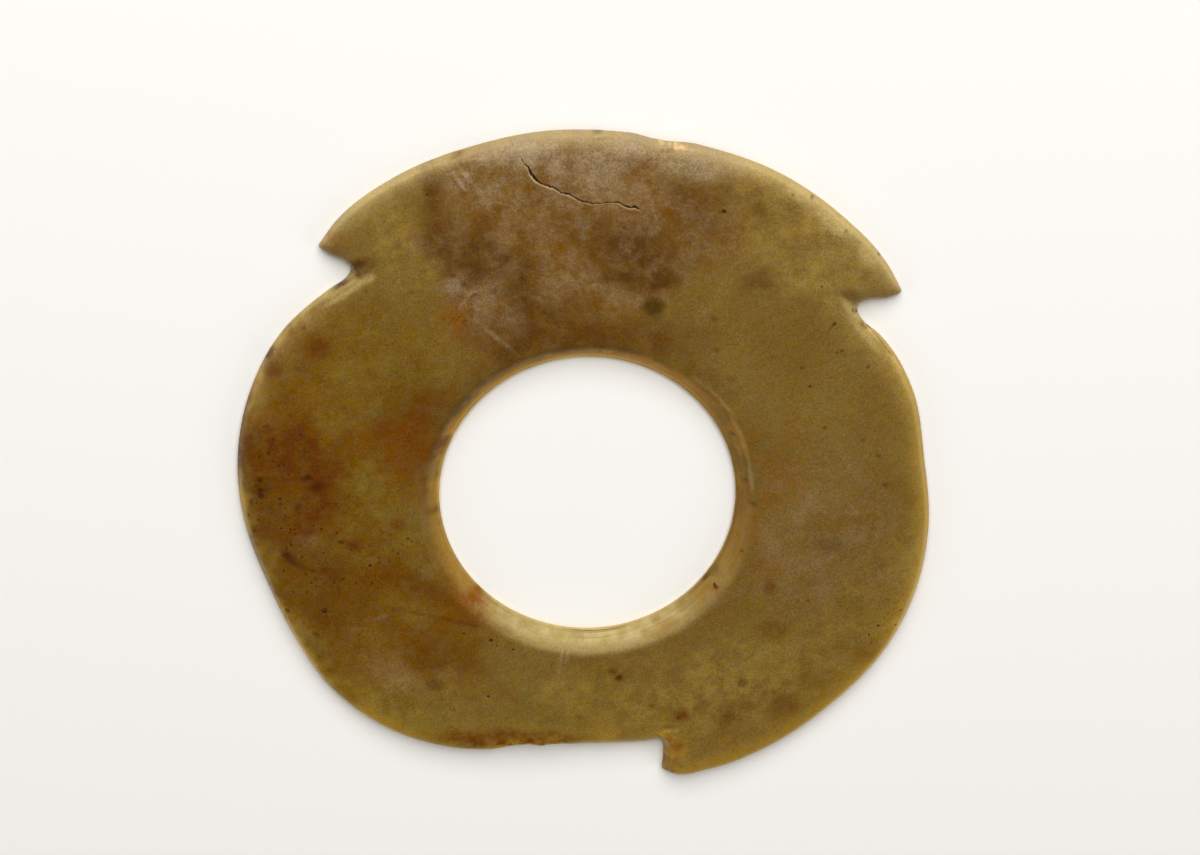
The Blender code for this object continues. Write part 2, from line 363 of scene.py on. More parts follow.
VEIL = (
    Mark((515, 205), 0.028, 0.022, 0, 0.85),
    Mark((620, 200), 0.03, 0.02, -10, 0.85),
    Mark((515, 290), 0.022, 0.02, -30, 0.75),
    Mark((625, 265), 0.024, 0.018, -20, 0.8),
    Mark((700, 225), 0.016, 0.014, 0, 0.55),
    Mark((815, 540), 0.022, 0.022, 60, 0.2),
)
BROWN = (
    Mark((645, 255), 0.013, 0.01, -20, 0.95),
    Mark((590, 235), 0.012, 0.006, -15, 0.45),
    Mark((697, 208), 0.011, 0.008, -20, 0.6),
    Mark((497, 270), 0.022, 0.009, -48, 0.85),
    Mark((475, 247), 0.004, 0.004, 0, 0.6),
    Mark((540, 325), 0.018, 0.008, 10, 0.45),
    Mark((430, 235), 0.01, 0.004, -70, 0.35),
    Mark((431, 190), 0.01, 0.0026, -84, 0.55),
    Mark((438, 240), 0.01, 0.0026, -68, 0.7),
    Mark((450, 290), 0.006, 0.0026, -60, 0.45),
    Mark((400, 400), 0.014, 0.006, 50, 0.35),
    Mark((600, 338), 0.03, 0.006, 0, 0.6),
    Mark((484, 378), 0.02, 0.006, 46, 0.5),
    Mark((695, 372), 0.02, 0.005, -40, 0.3),
    Mark((420, 440), 0.014, 0.006, 70, 0.3),
    Mark((345, 240), 0.009, 0.006, 30, 0.25),
    # Painted shade, with some dirt: the next three marks darken the roots of the left and right notches
    Mark((358, 269), 0.004, 0.003, 20, 1.0),
    Mark((364, 264), 0.0044, 0.002, 15, 0.7),
    Mark((850, 296), 0.0032, 0.0018, -12, 0.8),
    Mark((868, 323), 0.002, 0.0008, -30, 1.0),
    Mark((664, 757), 0.0022, 0.006, 0, 0.45),
    Mark((758, 282), 0.006, 0.005, 0, 0.5),
    Mark((649, 276), 0.0048, 0.0008, 12, 0.6),
    Mark((470, 328), 0.004, 0.005, 0, 0.4),
    Mark((265, 500), 0.01, 0.022, 10, 0.35),
    Mark((330, 590), 0.018, 0.012, -50, 0.45),
    Mark((440, 655), 0.014, 0.006, -20, 0.35),
    Mark((315, 650), 0.01, 0.004, -50, 0.4),
)
RUST = (
    Mark((317, 350), 0.0046, 0.0042, 0, 0.75),
    Mark((301, 366), 0.0026, 0.0028, 0, 0.65),
    Mark((272, 362), 0.0034, 0.005, 0, 0.95),
    Mark((285, 455), 0.018, 0.01, 10, 0.85),
    Mark((325, 495), 0.011, 0.013, 0, 0.9),
    Mark((407, 426), 0.014, 0.008, 45, 0.8),
    Mark((418, 456), 0.005, 0.01, 0, 0.45),
    # Painted shade, with some dirt, in the root of the left notch
    Mark((358, 269), 0.0036, 0.0026, 20, 0.6),
    Mark((430, 590), 0.014, 0.005, -25, 0.5),
    Mark((385, 575), 0.012, 0.004, -5, 0.4),
    Mark((275, 530), 0.008, 0.012, 0, 0.45),
    Mark((473, 612), 0.005, 0.005, -45, 0.75),
    Mark((330, 625), 0.01, 0.004, -50, 0.3),
    Mark((425, 658), 0.012, 0.004, -20, 0.3),
    Mark((545, 190), 0.008, 0.0045, -30, 0.3),
    Mark((470, 160), 0.01, 0.0045, 25, 0.25),
    Mark((640, 160), 0.008, 0.004, 0, 0.25),
    Mark((600, 338), 0.03, 0.005, 0, 0.3),
    Mark((666, 750), 0.003, 0.008, 5, 0.55),
    Mark((440, 212), 0.009, 0.003, -78, 0.5),
    Mark((775, 631), 0.006, 0.004, 0, 0.5),
    Mark((770, 588), 0.0022, 0.0026, 0, 0.7),
    Mark((869, 651), 0.006, 0.004, 50, 0.4),
    Mark((879, 564), 0.0026, 0.0022, 0, 0.5),
    Mark((727, 716), 0.0024, 0.005, 0, 0.65),
    Mark((747, 706), 0.0034, 0.0022, 0, 0.5),
    Mark((786, 704), 0.005, 0.005, 0, 0.55),
    Mark((681, 715), 0.003, 0.0028, 0, 0.75),
    Mark((613, 671), 0.0016, 0.0013, 0, 0.85),
    Mark((620, 678), 0.0019, 0.0015, 0, 0.85),
    Mark((716, 350), 0.0012, 0.001, 0, 0.6),
    Mark((732, 380), 0.0012, 0.001, 0, 0.5),
    Mark((715, 319), 0.0012, 0.001, 0, 0.5),
    Mark((500, 741), 0.023, 0.004, -3, 0.85),
    Mark((545, 737), 0.014, 0.0022, -4, 0.55),
    Mark((597, 131), 0.0018, 0.001, 0, 0.7),
    Mark((715, 583), 0.0022, 0.002, 0, 0.6),
    Mark((457, 622), 0.008, 0.0007, -14, 0.8),
    Mark((410, 612), 0.01, 0.0006, -12, 0.45),
    Mark((514, 148), 0.0026, 0.0004, -60, 0.6),
    Mark((659, 155), 0.0024, 0.0005, 50, 0.6),
    Mark((668, 151), 0.002, 0.0005, 10, 0.5),
    Mark((457, 155), 0.0034, 0.0008, 22, 0.5),
    Mark((336, 296), 0.014, 0.0008, 33, 0.4),
    Mark((366, 291), 0.0007, 0.0007, 0, 0.6),
    Mark((304, 328), 0.0007, 0.0006, 0, 0.7),
    Mark((396, 563), 0.0022, 0.0016, 0, 0.7),
    Mark((399, 525), 0.0024, 0.0018, 0, 0.6),
    Mark((353, 546), 0.003, 0.0016, -20, 0.8),
    Mark((324, 570), 0.0022, 0.0016, 0, 0.6),
    Mark((336, 591), 0.0022, 0.0018, 0, 0.6),
)
PALE = (
    # These first marks lighten the band along the top rim and the face just below it
    Mark((585, 165), 0.014, 0.01, -5, 0.55),
    Mark((478, 182), 0.01, 0.006, 40, 0.3),
    Mark((515, 152), 0.014, 0.006, 8, 0.45),
    Mark((690, 156), 0.014, 0.006, -12, 0.55),
    Mark((640, 150), 0.01, 0.004, -5, 0.35),
    Mark((590, 142), 0.044, 0.006, 0, 0.45),
    Mark((815, 530), 0.028, 0.022, 60, 0.13),
    Mark((640, 222), 0.007, 0.004, -45, 0.2),
    Mark((475, 292), 0.01, 0.005, -15, 0.22),
    Mark((505, 322), 0.008, 0.004, -25, 0.15),
    Mark((453, 287), 0.0045, 0.003, 0, 0.25),
    Mark((497, 338), 0.008, 0.0006, -42, 0.55),
    Mark((466, 299), 0.0034, 0.0008, 60, 0.6),
    Mark((473, 292), 0.003, 0.0007, 10, 0.5),
    Mark((468, 178), 0.006, 0.0007, -52, 0.5),
    Mark((461, 184), 0.0056, 0.0006, -56, 0.45),
    Mark((512, 149), 0.0012, 0.0026, 0, 0.4),
    Mark((308, 541), 0.004, 0.0026, 0, 0.15),
    Mark((381, 619), 0.0026, 0.001, 20, 0.35),
    Mark((393, 675), 0.011, 0.005, -30, 0.15),
    Mark((639, 255), 0.002, 0.0009, 45, 0.25),
    Mark((561, 660), 0.005, 0.0004, 82, 0.4),
    Mark((567, 658), 0.004, 0.0004, 80, 0.35),
)
ORANGE = (
    Mark((746, 500), 0.01, 0.03, -8, 0.3),
    Mark((457, 315), 0.004, 0.0034, 30, 0.85),
    Mark((461, 327), 0.003, 0.0044, 0, 0.6),
    Mark((476, 603), 0.005, 0.006, -45, 0.75),
    Mark((463, 596), 0.005, 0.003, -45, 0.5),
    Mark((328, 243), 0.005, 0.003, 20, 0.35),
    Mark((895, 292), 0.006, 0.0024, 0, 0.25),
    Mark((671, 746), 0.0026, 0.0044, 15, 0.5),
    Mark((700, 748), 0.012, 0.006, 5, 0.2),
    Mark((467, 211), 0.004, 0.006, 20, 0.3),
    Mark((500, 741), 0.02, 0.003, -3, 0.3),
    Mark((404, 440), 0.012, 0.009, 45, 0.3),
)
# Painted highlights, pale yellowish: the bevels below both notches, the top right rim, the hole's right lip
# and a chip at the bottom rim, where they face the light
BEVEL_HIGHLIGHTS = (
    Mark((345, 290), 0.0096, 0.0016, 35, 0.75),
    Mark((366, 279), 0.003, 0.0014, 20, 0.5),
    Mark((849, 307), 0.005, 0.0013, -52, 0.45),
    Mark((866, 335), 0.008, 0.0014, -50, 0.4),
    Mark((704, 386), 0.005, 0.0008, -40, 0.2),
    Mark((724, 405), 0.005, 0.0008, -49, 0.25),
    Mark((737, 428), 0.005, 0.0008, -62, 0.3),
    Mark((746, 452), 0.005, 0.0008, -72, 0.3),
    Mark((751, 478), 0.005, 0.0008, -82, 0.3),
    Mark((671, 732), 0.003, 0.0007, 10, 0.5),
    Mark((832, 224), 0.006, 0.0022, -42, 0.45),
    Mark((801, 196), 0.005, 0.002, -35, 0.35),
    Mark((866, 256), 0.004, 0.0016, -50, 0.35),
)
# Painted light: the lower wall of the hole, which faces the light, made paler
PAINTED_WALL_LIGHT = (
    Mark((600, 640), 0.036, 0.013, 0, 0.95),
    Mark((690, 615), 0.022, 0.01, 38, 0.42),
    Mark((512, 612), 0.02, 0.01, -38, 0.75),
)
# Painted light: the side walls of the hole made amber, as light comes through them
SIDE_WALL_GLOW = (
    Mark((440, 500), 0.014, 0.034, 0, 0.8),
    Mark((462, 572), 0.014, 0.018, 40, 0.8),
    Mark((738, 470), 0.012, 0.02, 0, 0.35),
    Mark((735, 560), 0.012, 0.028, -35, 0.45),
)
# Painted shade: the upper wall of the hole, which lies in shade, made deep orange
SHADED_WALL_ORANGE = (
    Mark((470, 410), 0.014, 0.024, -40, 0.85),
    Mark((590, 362), 0.036, 0.014, 0, 0.9),
    Mark((700, 395), 0.014, 0.024, 40, 0.6),
)
GREY_SPOTS = (
    Mark((654, 308), 0.0036, 0.0038, 0, 0.9),
    Mark((759, 209), 0.0024, 0.0026, 0, 0.5),
    Mark((742, 683), 0.0018, 0.0018, 0, 0.6),
    Mark((828, 545), 0.005, 0.0032, 0, 0.4),
    Mark((435, 685), 0.0034, 0.0024, 0, 0.45),
    Mark((515, 345), 0.008, 0.003, 25, 0.3),
)
DARK = (
    Mark((318, 487), 0.0024, 0.0017, 10, 0.7),
    Mark((452, 178), 0.005, 0.0005, -56, 0.35),
    Mark((305, 480), 0.0016, 0.001, 40, 0.5),
    Mark((262, 491), 0.003, 0.0007, 15, 0.5),
    Mark((256, 486), 0.001, 0.0007, 40, 0.45),
    Mark((251, 502), 0.001, 0.0007, 70, 0.5),
    Mark((298, 507), 0.0016, 0.001, 60, 0.6),
    Mark((263, 489), 0.005, 0.003, 30, 0.35),
    Mark((309, 533), 0.0026, 0.001, 30, 0.35),
    Mark((288, 557), 0.0036, 0.0016, -50, 0.7),
    Mark((300, 566), 0.003, 0.0012, -30, 0.45),
    Mark((335, 577), 0.003, 0.0026, 0, 0.25),
    Mark((316, 634), 0.0014, 0.0008, -40, 0.45),
    Mark((624, 228), 0.0007, 0.0006, 0, 0.6),
    Mark((834, 324), 0.0008, 0.0005, 50, 0.75),
    Mark((831, 328), 0.0014, 0.0003, 50, 0.5),
    Mark((842, 351), 0.0006, 0.0005, 0, 0.8),
    Mark((837, 353), 0.0005, 0.0004, 0, 0.7),
    Mark((802, 368), 0.0006, 0.0005, 0, 0.75),
    Mark((868, 367), 0.0006, 0.0005, 0, 0.7),
    Mark((825, 428), 0.0007, 0.0006, 0, 0.6),
    Mark((863, 440), 0.001, 0.0008, 0, 0.4),
    Mark((879, 456), 0.0008, 0.0006, 0, 0.5),
    Mark((885, 485), 0.0011, 0.0008, 0, 0.55),
    Mark((793, 195), 0.0006, 0.0005, 0, 0.6),
    Mark((812, 197), 0.0006, 0.0005, 0, 0.8),
    Mark((846, 231), 0.0006, 0.0004, 0, 0.5),
    Mark((879, 254), 0.0006, 0.0005, 0, 0.6),
    Mark((733, 434), 0.001, 0.0008, 0, 0.55),
    Mark((746, 480), 0.0009, 0.0007, 0, 0.4),
    Mark((753, 504), 0.0014, 0.0008, 0, 0.5),
    Mark((901, 610), 0.0006, 0.0005, 0, 0.6),
    Mark((888, 600), 0.0005, 0.0004, 0, 0.45),
    Mark((652, 706), 0.001, 0.0007, 0, 0.4),
    Mark((580, 718), 0.001, 0.0008, 0, 0.4),
    Mark((742, 551), 0.0005, 0.0004, 0, 0.8),
    Mark((706, 577), 0.0016, 0.0005, 50, 0.8),
    Mark((716, 587), 0.0008, 0.0006, 0, 0.9),
    Mark((385, 619), 0.0026, 0.0007, 20, 0.45),
    Mark((678, 718), 0.0007, 0.0006, 0, 0.7),
    Mark((619, 677), 0.0007, 0.0006, 0, 0.7),
    # Painted shadow: the dark edge under the left notch's lower bank
    Mark((339, 282), 0.0034, 0.0008, 34, 0.85),
    Mark((855, 311), 0.0009, 0.0007, 0, 0.6),
)
SPECKLED = (
    Mark((285, 510), 0.022, 0.028, 10, 0.9),
    Mark((370, 570), 0.026, 0.016, -10, 0.7),
    Mark((330, 630), 0.016, 0.01, -50, 0.5),
    Mark((500, 280), 0.024, 0.02, -40, 0.35),
    Mark((850, 600), 0.02, 0.016, 50, 0.4),
    Mark((760, 700), 0.02, 0.01, 20, 0.4),
)
MARK_KINDS = {
    "honey_side": (HONEY_SIDE, 0.60),
    "greenish": (GREENISH, 0.80),
    "light": (LIGHT, 0.80),
    "veil": (VEIL, 0.60),
    # Painted light and shade on the hole's wall, by the way each part of it faces
    "painted_wall_light": (PAINTED_WALL_LIGHT, 0.45),
    "side_wall_glow": (SIDE_WALL_GLOW, 0.45),
    "shaded_wall_orange": (SHADED_WALL_ORANGE, 0.45),
    # Painted highlights on the bevels
    "painted_highlight": (BEVEL_HIGHLIGHTS, 0.55),
    "brown": (BROWN, 0.80),
    "rust": (RUST, 0.70),
    "orange": (ORANGE, 0.60),
    "pale": (PALE, 0.80),
    "grey_spots": (GREY_SPOTS, 0.45),
    "dark": (DARK, 0.75),
    "speckled": (SPECKLED, 0.60),
}

# How the edges of the stains and the painted patches wander, and how deep they go
COARSE_WARP_LENGTH = 0.0060
FINE_WARP_LENGTH = 0.0017
COARSE_WARP_SHARE = 0.45
FINE_WARP_SHARE = 0.22
FULL_WARP_WIDTH = 0.009
MARK_DEPTH = 2.2
MARK_EXTRA_DEPTH = 0.0006


def camera_axes():
    """The camera's place, and its right, up and backward directions."""
    back = Vector(
        (sin(CAMERA_TILT) * cos(CAMERA_HEADING), sin(CAMERA_TILT) * sin(CAMERA_HEADING), cos(CAMERA_TILT))
    )
    up = (Vector((0, 1, 0)) - back * back.y).normalized()
    return HOLE_MIDDLE + AIM_FROM_HOLE + back * CAMERA_DISTANCE, up.cross(back), up, back


def make_camera():
    """The camera that took the photograph."""
    place, right, up, back = camera_axes()
    data = bpy.data.cameras.new("camera")
    data.lens = LENS
    data.sensor_width = SENSOR_WIDTH
    camera = bpy.data.objects.new("camera", data)
    turn = Matrix((right, up, back)).transposed().to_4x4()
    camera.matrix_world = Matrix.Translation(place) @ turn
    bpy.context.scene.collection.objects.link(camera)
    bpy.context.scene.camera = camera


def merged_stone():
    """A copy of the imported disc's mesh with its loose triangles joined."""
    bm = bmesh.new()
    bm.from_mesh(frame["nodes"]["toothed_disc"].data)
    bmesh.ops.remove_doubles(bm, verts=bm.verts[:], dist=MERGE_DISTANCE)
    return bm


def on_stone(pixel, surface):
    """The point of the stone that shows at a pixel of the photograph, or the nearest one beside its edge."""
    place, right, up, back = camera_axes()
    per_pixel = SENSOR_WIDTH / LENS / FRAME_WIDTH
    sight = right * (pixel[0] - FRAME_WIDTH / 2) * per_pixel
    sight -= up * (pixel[1] - FRAME_HEIGHT / 2) * per_pixel
    sight -= back
    hit, *_ = surface.ray_cast(place, sight.normalized())
    if hit is None or hit.z < BACK_HEIGHT:
        passing = place + sight * (place.z - FACE_TOP / 2) / -sight.z
        hit, *_ = surface.find_nearest(passing)
    return hit


def path_on_stone(groove, surface):
    """The points of the stone along a groove."""
    return np.array([on_stone(pixel, surface) for pixel in groove.pixels])


def places_of(bm):
    """The places of the mesh's points."""
    return np.array([vert.co[:] for vert in bm.verts])


def along_path(points, path):
    """Each point's distance to a path on the face, seen from above, how far along it is, and its side."""
    nearest = np.full(len(points), np.inf)
    along = np.zeros(len(points))
    side = np.zeros(len(points))
    for number, (start, end) in enumerate(zip(path, path[1:])):
        run = (end - start)[:2]
        offsets = points[:, :2] - start[:2]
        shares = np.clip(offsets @ run / (run @ run), 0, 1)
        distances = np.linalg.norm(offsets - shares[:, None] * run, axis=1)
        closer = distances < nearest
        nearest[closer] = distances[closer]
        along[closer] = number + shares[closer]
        side[closer] = (run[0] * offsets[:, 1] - run[1] * offsets[:, 0])[closer]
    return nearest, along, np.sign(side)


def detail_places(surface):
    """The places that need fine mesh, each with its reach and the length of its edges."""
    details = []
    for groove in GROOVES:
        path = path_on_stone(groove, surface)
        for start, end in zip(path, path[1:]):
            for share in CRACK_STEPS:
                details.append((start + (end - start) * share, CRACK_REACH, CRACK_EDGE))
    small = [(pit.pixel, pit.width * PIT_REACH_SHARE, PIT_EDGE) for pit in PITS]
    small += [(chip.pixel, chip.width * CHIP_REACH_SHARE, CHIP_EDGE) for chip in CHIPS]
    for marks, _ in MARK_KINDS.values():
        spots = [mark for mark in marks if mark.length < SMALL_SPOT]
        small += [(spot.pixel, spot.length * SPOT_REACH_SHARE, SPOT_EDGE) for spot in spots]
    for pixel, reach, edge in small:
        details.append((np.array(on_stone(pixel, surface)), reach, edge))
    return details


def wanted_edge(points, details):
    """How long an edge of the mesh should be at each point."""
    radii = np.linalg.norm(points[:, :2] - np.array(HOLE_MIDDLE)[:2], axis=1)
    wanted = np.where(points[:, 2] > SIDE_TOP, FACE_EDGE, SIDE_EDGE)
    wanted[radii < HOLE_LIP_RADIUS] = WALL_EDGE
    wanted[points[:, 2] < BACK_HEIGHT] = BACK_EDGE
    for middle, reach, edge in details:
        away = np.linalg.norm(points - middle, axis=1)
        wanted = np.minimum(wanted, edge + EDGE_GROWTH * np.maximum(0, away - reach))
    return wanted


def edge_shares(bm, details):
    """Each edge's length, as a share of the length that its place wants."""
    bm.verts.index_update()
    bm.edges.ensure_lookup_table()
    places = places_of(bm)
    ends = np.array([(edge.verts[0].index, edge.verts[1].index) for edge in bm.edges])
    starts = places[ends[:, 0]]
    stops = places[ends[:, 1]]
    return np.linalg.norm(stops - starts, axis=1) / wanted_edge((starts + stops) / 2, details)


def split_long(bm, shares):
    """Halves the long edges and joins the cuts in a set order, so that every face is a triangle again."""
    long = [bm.edges[i] for i in np.nonzero(shares > LONG_EDGE)[0]]
    made = bmesh.ops.subdivide_edges(bm, edges=long, cuts=1)
    fresh = dict.fromkeys(item for item in made["geom_inner"] if isinstance(item, bmesh.types.BMVert))
    bmesh.ops.connect_verts(bm, verts=list(fresh))
    for face in [face for face in bm.faces if len(face.verts) > 3]:
        corners = face.verts
        pairs = [
            (corners[k], corners[k + 2]) for k in (0, 1) if corners[k] in fresh or corners[k + 2] in fresh
        ]
        bmesh.utils.face_split(face, *min(pairs, key=lambda pair: (pair[0].co - pair[1].co).length))
    return len(long)


def even_out(bm):
    """Turns edges so that the triangles are as even as they can be, but not across a crease."""
    flat = [edge for edge in bm.edges if edge.calc_face_angle(pi) < FLAT_ANGLE]
    bmesh.ops.beautify_fill(bm, faces=bm.faces[:], edges=flat, method="AREA")


def close_short(bm, shares):
    """Draws the ends of short edges together, with no two of them side by side."""
    on_crease = set()
    for edge in bm.edges:
        if edge.calc_face_angle(pi) > CREASE_ANGLE:
            on_crease.update(vert.index for vert in edge.verts)
    order = np.argsort(shares)
    taken = set()
    chosen = []
    for edge in (bm.edges[i] for i in order[shares[order] < SHORT_EDGE]):
        first, second = edge.verts
        if first.index in taken or second.index in taken:
            continue
        if (first.index in on_crease) != (second.index in on_crease):
            continue
        round_first = {link.other_vert(first).index for link in first.link_edges}
        round_second = {link.other_vert(second).index for link in second.link_edges}
        if len(round_first & round_second) == 2:
            chosen.append(edge)
            taken |= round_first | round_second
    bmesh.ops.collapse(bm, edges=chosen, uvs=False)


def refine(bm, details):
    """Gives every part of the stone triangles as fine as its place wants."""
    for turn in range(REFINING_PASSES):
        if split_long(bm, edge_shares(bm, details)) == 0:
            break
        even_out(bm)
        if turn > 0:
            close_short(bm, edge_shares(bm, details))
            even_out(bm)


def from_hole(place):
    """How far a place lies from the hole's axis."""
    return (place - HOLE_MIDDLE).xy.length


def soften(bm):
    """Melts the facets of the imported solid, and rounds its edges as long handling did."""
    worn = [vert for vert in bm.verts if vert.co.z > WORN_FROM]
    for _ in range(SOFTENING_PASSES):
        bmesh.ops.smooth_vert(
            bm, verts=worn, factor=SMOOTHING, use_axis_x=True, use_axis_y=True, use_axis_z=True
        )
    slopes = [vert for vert in worn if vert.co.z > SLOPES_FROM and from_hole(vert.co) > HOLE_LIP_RADIUS]
    for _ in range(SLOPE_PASSES):
        bmesh.ops.smooth_vert(
            bm, verts=slopes, factor=SMOOTHING, use_axis_x=False, use_axis_y=False, use_axis_z=True
        )


def rim_glow(bm):
    """How much light comes through the stone at each point: most along the rim and the hole's thin lip."""
    bm.normal_update()
    sides = [vert.co for vert in bm.verts if abs(vert.normal.z) < RIM_STEEPNESS]
    rim = [place for place in sides if place.z > BACK_HEIGHT and from_hole(place) > HOLE_LIP_RADIUS]
    tree = KDTree(len(rim))
    for number, place in enumerate(rim):
        tree.insert((place.x, place.y, 0), number)
    tree.balance()
    away = np.array([tree.find((vert.co.x, vert.co.y, 0))[2] for vert in bm.verts])
    heights = np.array([vert.co.z for vert in bm.verts])
    radii = np.array([from_hole(vert.co) for vert in bm.verts])
    toward_top = (np.array([vert.co.y for vert in bm.verts]) / cad_box[1][1] + 1) / 2
    depth = GLOW_DEPTH * (GLOW_STRETCH - GLOW_STRETCH_FALL * toward_top)
    deep = (DEEP_GLOW - DEEP_GLOW_FALL * toward_top) * np.exp(-away / depth)
    glow = THIN_GLOW * np.exp(-away / THIN_GLOW_DEPTH) + deep
    to_right = np.array([vert.co.x - HOLE_MIDDLE.x for vert in bm.verts]) / HOLE_LIP_RADIUS
    lip_top = LIP_GLOW_TOP + UPPER_LIP_GLOW * np.clip(toward_top - UPPER_LIP_FROM, 0, 1)
    lip = smooth_step((lip_top - heights) / lip_top * LIP_GLOW_FADE)
    lip *= radii < HOLE_LIP_RADIUS - LIP_GLOW_INSET
    fall = RIGHT_LIP_FALL * np.clip(to_right, 0, 1) + LEFT_LIP_FALL * np.clip(-to_right, 0, 1)
    lip *= LIP_GLOW_SHARE - fall
    return np.clip(np.maximum(glow, lip), 0, 1)


def noise_at(points, length, seed=0):
    """Smooth noise between 0 and 1 at each point, with features of about this length."""
    shift = Vector([seed * step for step in SEED_STEPS])
    values = np.array([noise.noise(Vector(point) / length + shift) for point in points])
    return np.clip(values / 2 + 0.5, 0, 1)


def smooth_step(values):
    """The values from 0 to 1, with soft ends."""
    values = np.clip(values, 0, 1)
    return values * values * (3 - 2 * values)


def patches(points, length, seed, contrast=PATCH_CONTRAST):
    """Noise drawn out into soft-edged patches between 0 and 1."""
    return smooth_step(noise_at(points, length, seed) * contrast - PATCH_DROP)


def scoop_out(points, scoop, surface, ripple, uneven):
    """Moves the points inside a chip's uneven ball out to its wall, and says how deep each one lay."""
    heading = radians(scoop.heading)
    lift = radians(scoop.lift)
    facing = np.array((cos(lift) * cos(heading), cos(lift) * sin(heading), sin(lift)))
    middle = np.array(on_stone(scoop.pixel, surface))
    radius = (scoop.width**2 / 4 + scoop.depth**2) / (2 * scoop.depth)
    centre = middle + facing * (radius - scoop.depth)
    offsets = points - centre
    away = np.linalg.norm(offsets, axis=1)
    from_middle = np.linalg.norm(points - middle, axis=1)
    waved = radius + ripple * (1 + np.sin(from_middle / CHIP_RIPPLE_LENGTH * 2 * pi)) / 2
    waved -= scoop.depth * CHIP_UNEVENNESS * uneven
    inside = (away < waved) & (from_middle < scoop.width)
    depths = np.where(inside, (waved - away) / scoop.depth, 0)
    points[inside] = centre + offsets[inside] * (waved / away)[inside][:, None]
    return np.clip(depths, 0, 1)


def cut_rings(points, normals, wander):
    """Cuts the drill's rings into the hole's wall."""
    outward = points[:, :2] - np.array(HOLE_MIDDLE)[:2]
    radii = np.linalg.norm(outward, axis=1)
    on_wall = (radii < HOLE_LIP_RADIUS) & (points[:, 2] > BACK_HEIGHT) & (normals[:, 2] < WALL_STEEPNESS)
    for ring in DRILL_RINGS:
        offset = np.abs(points[:, 2] + wander * RING_WANDER - ring.height) / ring.half_height
        shown = smooth_step(1 - offset) * on_wall
        points[:, :2] += outward / radii[:, None] * (ring.depth * shown)[:, None]


def cut_chips(points, surface, wander, patchy):
    """Breaks out the chips, and returns how fresh the broken stone looks."""
    broken = np.zeros(len(points))
    uneven = patches(points, CHIP_UNEVEN_LENGTH, CHIP_SEED)
    ripple = CHIP_RIPPLE + np.abs(wander) * CHIP_WANDER
    for chip in CHIPS:
        depths = scoop_out(points, chip, surface, ripple, uneven)
        broken = np.maximum(broken, chip.fresh * smooth_step(depths * FRESH_REACH) * patchy)
    return broken


def cut_grooves(points, normals, surface, wander, jagged):
    """Cuts the crack and the fine line, and returns their dirt and the painted highlight along their lower
    lips.
    """
    dirt = np.zeros(len(points))
    pale = np.zeros(len(points))
    for groove in GROOVES:
        path = path_on_stone(groove, surface)
        crooked = points + np.column_stack([jagged, -jagged, np.zeros(len(points))])
        distances, along, side = along_path(crooked, path)
        half_widths = np.interp(along, np.arange(len(path)), groove.half_widths)
        open_to = half_widths + np.abs(wander) * GROOVE_WANDER
        share = np.clip(1 - distances / open_to, 0, 1) * (points[:, 2] > GROOVES_FROM)
        deepest = np.clip(half_widths / max(groove.half_widths), LEAST_DEPTH_SHARE, 1)
        cut = groove.depth * deepest * share**GROOVE_PROFILE
        points -= normals * cut[:, None]
        dirt = np.maximum(dirt, groove.dirt * np.clip(share * GROOVE_DIRT_REACH, 0, 1))
        lip = smooth_step(LIP_REACH - distances / (open_to + LIP_WIDTH)) * (side < 0) * (share < LIP_START)
        uneven = patches(points, LIP_PATCH_LENGTH, LIP_SEED, LIP_PATCH_CONTRAST)
        pale = np.maximum(pale, lip * deepest * LIP_PALENESS * uneven)
    return dirt, pale


def cut_pits(points, normals, surface, jagged):
    """Sinks the pits, and returns the dirt in them."""
    dirt = np.zeros(len(points))
    for pit in PITS:
        middle = np.array(on_stone(pit.pixel, surface))
        away = np.linalg.norm(points - middle, axis=1) + jagged * PIT_JAGGEDNESS
        share = np.clip(1 - (away / (pit.width / 2)) ** 2, 0, 1)
        points -= normals * (pit.depth * share)[:, None]
        dirt = np.maximum(dirt, PIT_DIRT * np.clip(share * PIT_DIRT_REACH, 0, 1))
    return dirt


def carve(bm, surface):
    """Cuts the relief, and returns how dirty and how freshly broken each point is, with the painted highlight
    on the grooves' lower lips counted among the fresh breaks.
    """
    bm.normal_update()
    points = places_of(bm)
    normals = np.array([vert.normal[:] for vert in bm.verts])
    above = np.clip(points[:, 2] / WAVE_FADE, 0, 1)
    waves = WAVE_DEPTH * noise_at(points, WAVE_LENGTH)
    waves += RIPPLE_DEPTH * noise_at(points, RIPPLE_LENGTH, RIPPLE_SEED)
    points -= normals * (waves * above)[:, None]

    wander = (noise_at(points, WANDER_LENGTH, WANDER_SEED) - 0.5) * WANDER_REACH
    jagged = (noise_at(points, JAGGED_LENGTH, JAGGED_SEED) - 0.5) * JAGGED_REACH
    patchy = LEAST_FRESH + FRESH_SPREAD * patches(points, FRESH_PATCH_LENGTH, FRESH_SEED)
    cut_rings(points, normals, wander)
    broken = cut_chips(points, surface, wander, patchy)
    groove_dirt, lip_highlight = cut_grooves(points, normals, surface, wander, jagged)
    pit_dirt = cut_pits(points, normals, surface, jagged)
    for vert, place in zip(bm.verts, points):
        vert.co = place
    # The layer of fresh breaks also holds the painted highlight on the grooves' lower lips
    return {"dirt": np.maximum(groove_dirt, pit_dirt), "broken": np.maximum(broken, lip_highlight)}


def warps(points):
    """Two wandering offsets for each point, a coarse one and a fine one, each between -1 and 1."""
    layers = []
    for length, seed in ((COARSE_WARP_LENGTH, COARSE_WARP_SEED), (FINE_WARP_LENGTH, FINE_WARP_SEED)):
        sideways = noise_at(points, length, seed) * 2 - 1
        upways = noise_at(points, length, seed + 1) * 2 - 1
        layers.append(np.column_stack([sideways, upways]))
    return layers


